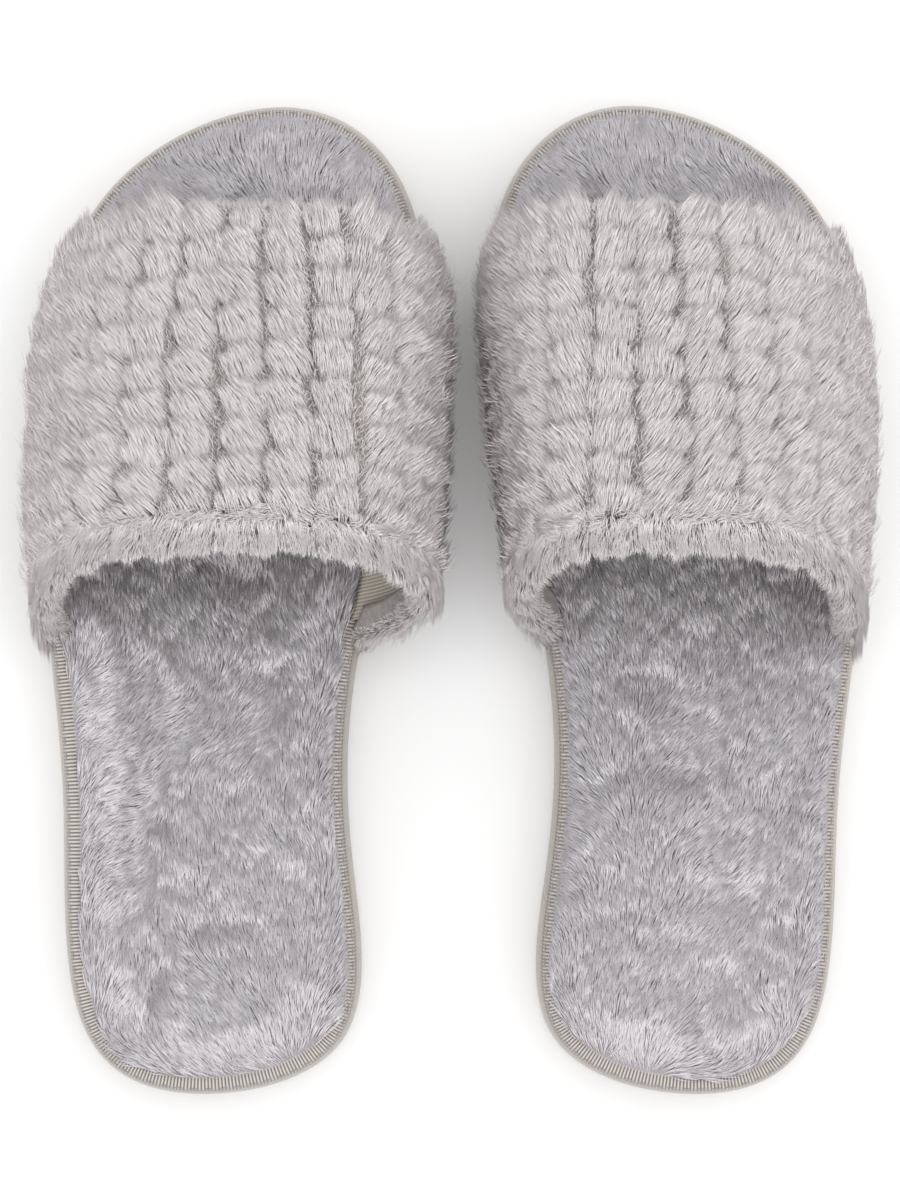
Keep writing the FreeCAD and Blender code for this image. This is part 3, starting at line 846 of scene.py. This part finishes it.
# fibres for each square millimetre
BAND_DENSITY = 3.4          # tufts
UNDER_DENSITY = 1.4         # short pile between the tufts, a little darker as painted shade between them
HEM_DENSITY = BAND_DENSITY * 1.8
LOCK_DENSITY = BAND_DENSITY * 1.6
FOLD_DENSITY = BAND_DENSITY * 1.1

# the ridges and their tufts
TUFT_LENGTH = 10.2          # between tufts along a ridge
FIRST_TUFT_HIDDEN = 0.7     # share of a ridge's first tuft that the hem covers
TUFT_STAGGER, TUFT_JITTER = 0.22, 0.12  # of a tuft's length, per ridge and per tuft
FRONT_UNEVENNESS = (-2.6, 0.8)  # how far a ridge ends behind or in front of the front edge
RIDGE_GAP = 0.2             # bare strip on each side of a ridge
RIDGE_WANDER = 1.1          # how far a ridge strays to the side
TUFT_WIDTHS = (0.76, 1.02)  # at its rear and from its middle on, as shares of a ridge
TUFT_REACH = (3.4, 8.4)
TUFT_RISE = (2.0, 5.7)      # at its rear and at its tips
TUFT_DOME = 0.36            # how much lower it is at its sides
TIP_LINE = 1.22             # where its tips end, as a share of its length
FRINGE = 7.0                # the last pile before the front edge, which grows longer
STRAY_SHARE, STRAY_RISE = 0.1, 1.4  # fibres that stand proud of their tuft, and how much

# the lean of the pile
PARTING_SHARE = 0.635       # where it parts, between the outer foot and the inner foot
INNER_SWAY, OUTER_SWAY = 1.35, 0.7  # how far it leans to each side for each unit along
INNER_TURN, OUTER_TURN = 3.5, 9.0  # how fast it gets there, away from the parting

# the rear edge
HEM = 4.0                   # behind this line the pile falls toward the heel
HEM_BLUR = 1.5
HEM_REACH = 6.8
HEM_RISE = (2.8, 4.4)       # at the edge and at the hem's line
PARTING_WIDTH = 3.0         # loose locks this far on each side of the hem's line
LOCK_PITCH = 7.2            # width of the locks along the hem

FUR_OVER_CROWN = 9.0        # thickness of the furry layer there
BAND_ALONG = 95.0           # about the band's size along the foot
FOLD_RADIUS = 2.4
FOLD_COVERED = 0.85         # share of a fold that carries pile
LOWEST_FIBRE = 10.5
ROOT_DEPTH = 0.2            # how deep the roots stand in the backing
TUFT_ROOT_DEPTH = 0.4


def pile_at(name, row, column):
    """Root, direction across, direction along and normal at places on the band."""
    found = look_up(BAND[name]["frame"], row, column)
    return found[:, 0:3], unit(found[:, 3:6]), unit(found[:, 6:9]), unit(found[:, 9:12])


def band_rows(name, column, distance):
    """Row of the surface at a distance in front of the rear fold, and the whole distance."""
    main = BAND[name]["surface"][LEAD_ROWS:LEAD_ROWS + MAIN_ROWS]
    lengths = gaps(main).sum(axis=0)
    length = np.interp(column, np.arange(ARCH_COLUMNS), lengths)
    return LEAD_ROWS + np.clip(distance / length, 0, 1) * (MAIN_ROWS - 1), length


def columns_per_mm(name):
    return (ARCH_COLUMNS - 1) / arch_length(name)


def side_of(column):
    """-1 at the outer foot of the arch, 0 over its crown, 1 at its inner foot."""
    return column / (ARCH_COLUMNS - 1) * 2 - 1


def sway_at(name, column):
    """How much the pile leans to the side for each unit along: it parts inward of the crown
    and turns fully within a few ridges."""
    ridges = ridge_count(name)
    parting = round(PARTING_SHARE * ridges) / ridges
    share = column / (ARCH_COLUMNS - 1)
    inner = INNER_SWAY * np.clip((share - parting) * INNER_TURN, 0, 1) ** 0.5
    outer = OUTER_SWAY * np.clip((parting - share) * OUTER_TURN, 0, 1) ** 0.5
    return inner - outer


def fur_share(name, row, column):
    """Thickness of the furry layer as a share of its thickness over the crown."""
    thickness = look_up(BAND[name]["thickness"][..., None], row - LEAD_ROWS, column)[:, 0]
    return thickness / FUR_OVER_CROWN


def any_column(rng, count):
    return rng.uniform(1, ARCH_COLUMNS - 2, count)


def lay_out_tufts(name, rng):
    """Middle column, start, length and four random traits of each tuft."""
    ridges = ridge_count(name)
    tufts = []
    for ridge in range(ridges):
        middle = (ridge + 0.5) / ridges * (ARCH_COLUMNS - 1)
        length = band_rows(name, np.array([middle]), np.array([0.0]))[1][0]
        rows = round((length - HEM) / TUFT_LENGTH) + 1
        step = (length - HEM) / (rows - FIRST_TUFT_HIDDEN)
        borders = length - step * np.arange(rows, -1, -1)
        borders[:-1] += (rng.uniform(-TUFT_STAGGER, TUFT_STAGGER)
                         + rng.uniform(-TUFT_JITTER, TUFT_JITTER, rows)) * step
        borders[-1] += rng.uniform(*FRONT_UNEVENNESS)
        for start, end in zip(borders[:-1], borders[1:]):
            tufts.append((middle, start, end - start, *rng.normal(size=4)))
    return np.array(tufts)


def place_in_tuft(sway, s, w, half, step):
    """Where a fibre stands, measured along the way its tuft leans: onward from -1 at the
    rear to 1 at the tips, and off its middle line from -1 to 1."""
    ahead = 1 / np.sqrt(1 + sway ** 2)
    aside = sway * ahead
    span = half * np.abs(aside) + step / 2 * ahead
    width = half * ahead + step / 2 * np.abs(aside)
    onward = (w * half * aside + (s - 0.5) * step * ahead) / span
    off = (w * half * ahead - (s - 0.5) * step * aside) / width
    return onward, off, span


def make_tufts(name, rng):
    """Rows of tufts along each ridge. A tuft's fibres start low and narrow at its rear and
    end together over the root of the next one. s and w are a fibre's place along and
    across its tuft."""
    half = arch_length(name) / ridge_count(name) / 2
    tufts = lay_out_tufts(name, rng)
    counts = (BAND_DENSITY * tufts[:, 2] * half * 2).astype(int)
    middle, start, step, twist, bulk, shift, shade = np.repeat(tufts, counts, axis=0).T
    count = len(middle)
    s = rng.uniform(0, 1, count)
    w = rng.uniform(-1, 1, count)
    per_mm = columns_per_mm(name)
    tuft_sway = sway_at(name, middle)
    spread = (half - RIDGE_GAP) * mix(*TUFT_WIDTHS, smooth_step(s, 0.0, 0.45))
    wander = RIDGE_WANDER * value_noise(middle, start + s * step, pitch=16.0, rng=rng)
    column = middle + (w * spread + tuft_sway * 2.0 * (s - 0.4) + 0.6 * shift + wander) * per_mm
    # a tuft's rear edge turns with its lean and is rounded
    distance = start + s * step - 0.3 * tuft_sway * w * half + 1.4 * w ** 2 * (1 - s)
    row, length = band_rows(name, column, distance)
    keep = (distance > HEM + HEM_BLUR * rng.normal(size=count)) & (distance < length - 0.3)
    keep &= (column > 0.5) & (column < ARCH_COLUMNS - 1.5)
    fringe = smooth_step(distance, length - FRINGE, length - 1.0) * (1 - side_of(column) ** 4)
    tuft_sway, s, w, step, twist, bulk, shade, column, row, fringe = (
        v[keep] for v in (tuft_sway, s, w, step, twist, bulk, shade, column, row, fringe))
    count = len(column)
    onward, off, span = place_in_tuft(tuft_sway, s, w, half, step)
    root, across, along, normal = pile_at(name, row, column)
    sway = (sway_at(name, column) + 0.12 * twist - mix(0.3, 0.42, fringe) * off
            + 0.16 * value_noise(column / per_mm, row, pitch=3.0, rng=rng)
            + 0.06 * rng.normal(size=count))
    lean = unit(across * sway[:, None] + along)
    grown = (onward + 1) / 2
    jagged = 0.14 * value_noise(column / per_mm, row / 3, pitch=1.8, rng=rng) - 0.14 * off ** 2
    reach = np.clip((TIP_LINE + jagged - grown) * 2 * span, *TUFT_REACH)
    reach = reach * (1 + 0.1 * rng.normal(size=count)) * (1 + fringe * (0.25 + 0.2 * bulk))
    rise = mix(*TUFT_RISE, grown) * (1 - TUFT_DOME * off ** 2)
    rise = rise * (1 + 0.12 * bulk + 0.07 * rng.normal(size=count))
    rise = rise * (1 - 0.35 * fringe) * fur_share(name, row, column) ** 0.6
    rise = rise * np.where(rng.random(count) < STRAY_SHARE, STRAY_RISE, 1.0)
    root = root + normal * (lump_at(name, column) - TUFT_ROOT_DEPTH)[:, None]
    tone = 0.6 + 0.04 * shade + 0.12 * rng.normal(size=count)
    return root, lean, normal, reach, np.clip(rise, 0.9, 7.5), tone


def make_under_pile(name, rng):
    """Short fibres everywhere, which show between the tufts."""
    count = int(UNDER_DENSITY * arch_length(name) * BAND_ALONG)
    column = any_column(rng, count)
    row = rng.uniform(LEAD_ROWS, LEAD_ROWS + MAIN_ROWS - 1, count)
    root, across, along, normal = pile_at(name, row, column)
    sway = sway_at(name, column) + 0.8 * rng.normal(size=count)
    lean = unit(across * sway[:, None] + along)
    rise = rng.uniform(1.8, 3.4, count) * fur_share(name, row, column)
    reach = rng.uniform(1.4, 3.6, count)
    # darker than the tufts' fibres: painted shade between the tufts
    tone = 0.47 + 0.13 * rng.normal(size=count)
    return root, lean, normal, reach, rise, tone


def lock_phase(name, column):
    """Angle within the locks along the rear edge, 0 at a lock's middle."""
    along_edge = column / columns_per_mm(name)
    rng = np.random.default_rng(SEED[name] + 5)
    wander = value_noise(along_edge, 0 * along_edge, pitch=14.0, rng=rng)
    return 2 * math.pi * along_edge / LOCK_PITCH + 1.8 * wander


def make_hem(name, rng):
    """The smooth zone along the rear edge, whose pile falls toward the heel in locks."""
    count = int(HEM_DENSITY * arch_length(name) * HEM)
    column = any_column(rng, count)
    distance = rng.uniform(0, 1, count) * (HEM + HEM_BLUR)
    row, _ = band_rows(name, column, distance)
    root, across, along, normal = pile_at(name, row, column)
    side = side_of(column)
    edge = column / columns_per_mm(name)
    phase = lock_phase(name, column)
    stray = value_noise(edge, distance / 2.5, pitch=4.5, rng=rng)
    sway = 0.9 * side - 0.22 * np.sin(phase) + 0.35 * stray + 0.15 * rng.normal(size=count)
    lean = unit(across * sway[:, None] - along)
    size = value_noise(edge + 50, distance / 4, pitch=4.5, rng=rng)
    reach = HEM_REACH * (1 + 0.22 * np.cos(phase) + 0.26 * size + 0.1 * rng.normal(size=count))
    reach = reach * (1 + 0.4 * side ** 4)
    rise = mix(*HEM_RISE, smooth_step(distance, 0.0, HEM)) * (1 + 0.22 * size)
    tone = 0.6 + 0.04 * size + 0.13 * rng.normal(size=count)
    return root - normal * ROOT_DEPTH, lean, normal, reach, rise, tone


def make_parting(name, rng):
    """Loose locks along the line where the hem's pile meets the tufts."""
    count = int(LOCK_DENSITY * arch_length(name) * 2 * PARTING_WIDTH)
    column = any_column(rng, count)
    edge = column / columns_per_mm(name)
    wander = 1.5 * value_noise(edge, 0 * edge, pitch=9.0, rng=rng)
    distance = HEM + wander + PARTING_WIDTH * rng.uniform(-1, 1, count)
    row, _ = band_rows(name, column, np.maximum(distance, 0))
    root, across, along, normal = pile_at(name, row, column)
    forward = value_noise(edge, distance / 3, pitch=3.4, rng=rng)
    aside = value_noise(edge + 30, distance / 3, pitch=3.0, rng=rng)
    sway = sway_at(name, column) + 1.1 * aside
    lean = unit(across * sway[:, None] + along * (1.2 * forward)[:, None])
    reach = 4.4 + 1.6 * np.abs(forward) + 0.3 * rng.normal(size=count)
    rise = 3.9 + 0.6 * aside + 0.3 * rng.normal(size=count)
    rise = rise * fur_share(name, row, column) ** 0.6
    tone = 0.62 + 0.13 * rng.normal(size=count)
    return root - normal * ROOT_DEPTH, lean, normal, reach, rise, tone


def make_fold_pile(name, front, rng):
    """Pile on the rounded front or rear edge. turn goes from 0 at the outer face to 1."""
    count = int(FOLD_DENSITY * arch_length(name) * math.pi * FOLD_RADIUS)
    column = any_column(rng, count)
    turn = rng.uniform(0, FOLD_COVERED, count)
    way = 1 if front else -1
    first_row = LEAD_ROWS + MAIN_ROWS - 1 if front else LEAD_ROWS
    root, across, along, normal = pile_at(name, first_row + way * turn * FOLD_ROWS, column)
    clump = value_noise(column / columns_per_mm(name), turn * 4, pitch=3.2, rng=rng)
    phase = lock_phase(name, column)
    sway = (0.7 * side_of(column) - 0.25 * np.sin(phase) + 0.4 * clump
            + 0.15 * rng.normal(size=count))
    lean = unit(across * sway[:, None] + along * way)
    outer = 1 - smooth_step(turn, 0.3, 0.75)
    reach = mix(1.6, 3.6, outer) * (1 + 0.3 * np.cos(phase) + 0.3 * clump)
    rise = mix(1.2, 1.2 if front else 3.6, outer) * (1 + 0.4 * clump)
    # the front fold's pile is darker than the rear's: painted shade under the overhanging tufts
    tone = (0.36 if front else 0.56) + 0.13 * rng.normal(size=count)
    return root - normal * ROOT_DEPTH, lean, normal, reach, rise, tone


def make_band_pile(name):
    rng = np.random.default_rng(SEED[name])
    parts = [make_tufts(name, rng), make_under_pile(name, rng), make_hem(name, rng),
             make_parting(name, rng), make_fold_pile(name, True, rng),
             make_fold_pile(name, False, rng)]
    root, lean, normal, reach, rise, tone = (np.concatenate(v) for v in zip(*parts))
    # nothing hangs lower than the skirt
    down = np.minimum(lean[:, 2] * reach + normal[:, 2] * rise, -0.01)
    room = np.clip((root[:, 2] - LOWEST_FIBRE) / -down, 0.25, 1)
    width = rng.uniform(*FIBRE_WIDTHS, len(root))
    return add_pile(name + "_band_pile", name, BAND_FIBRE, "band_fur", root, lean, normal,
                    reach * room, rise * room, width, tone, 0.2, rng)


# ---------------------------------------- build both slippers

CAD_MATERIALS = {"outsole": RUBBER, "insole_board": BOARD, "platform_foam": FOAM,
                 "cushion_foam": FOAM}

for slipper in NAMES:
    for part, finish in CAD_MATERIALS.items():
        node = nodes["%s_%s" % (slipper, part)]
        node.data.materials.clear()
        node.data.materials.append(finish)
    tape = make_cover(slipper)
    make_rim_stitches(slipper)
    make_sock(slipper)
    make_sock_pile(slipper)
    pelt = make_pelt(slipper)
    padding = make_band_foam(slipper)
    twill, twill_size = make_band_lining(slipper)
    make_topline_stitches(slipper, "rear", 1)
    make_topline_stitches(slipper, "front", -2)
    make_band_pile(slipper)

# ---------------------------------------- studio

FRAME_HEIGHT = 0.3136    # how much of the scene the picture takes in, in metres
CAMERA_HEIGHT = 2.4


def make_floor():
    bpy.ops.mesh.primitive_plane_add(size=6.0, location=(0, 0, -0.0005))
    floor = bpy.context.object
    floor.name = "floor"
    material, shader = new_material("floor_paper", roughness=0.9, specular=0.1)
    shader.inputs["Base Color"].default_value = (0.93, 0.93, 0.93, 1)
    floor.data.materials.append(material)


def area_light(label, location, size, power):
    light = bpy.data.lights.new(label, "AREA")
    light.size = size
    light.energy = power
    lamp = bpy.data.objects.new(label, light)
    lamp.location = location
    lamp.rotation_euler = (-Vector(location)).to_track_quat("-Z", "Y").to_euler()
    bpy.context.scene.collection.objects.link(lamp)


make_floor()
area_light("key", (0.1, 0.7, 2.0), 1.8, 5.0)
area_light("overhead", (0.25, -0.1, 2.3), 2.6, 19.0)
world = bpy.data.worlds.new("studio")
world.use_nodes = True
background = world.node_tree.nodes["Background"]
background.inputs["Color"].default_value = (1, 1, 1, 1)
background.inputs["Strength"].default_value = 0.97
scene = bpy.context.scene
scene.world = world
scene.view_settings.view_transform = "Standard"

camera = bpy.data.objects.new("camera", bpy.data.cameras.new("camera"))
camera.data.sensor_width = 36.0
camera.data.lens = 36.0 * (CAMERA_HEIGHT - RIM_HEIGHT * MM) / FRAME_HEIGHT
camera.location = (0, 0, CAMERA_HEIGHT)
scene.collection.objects.link(camera)
scene.camera = camera
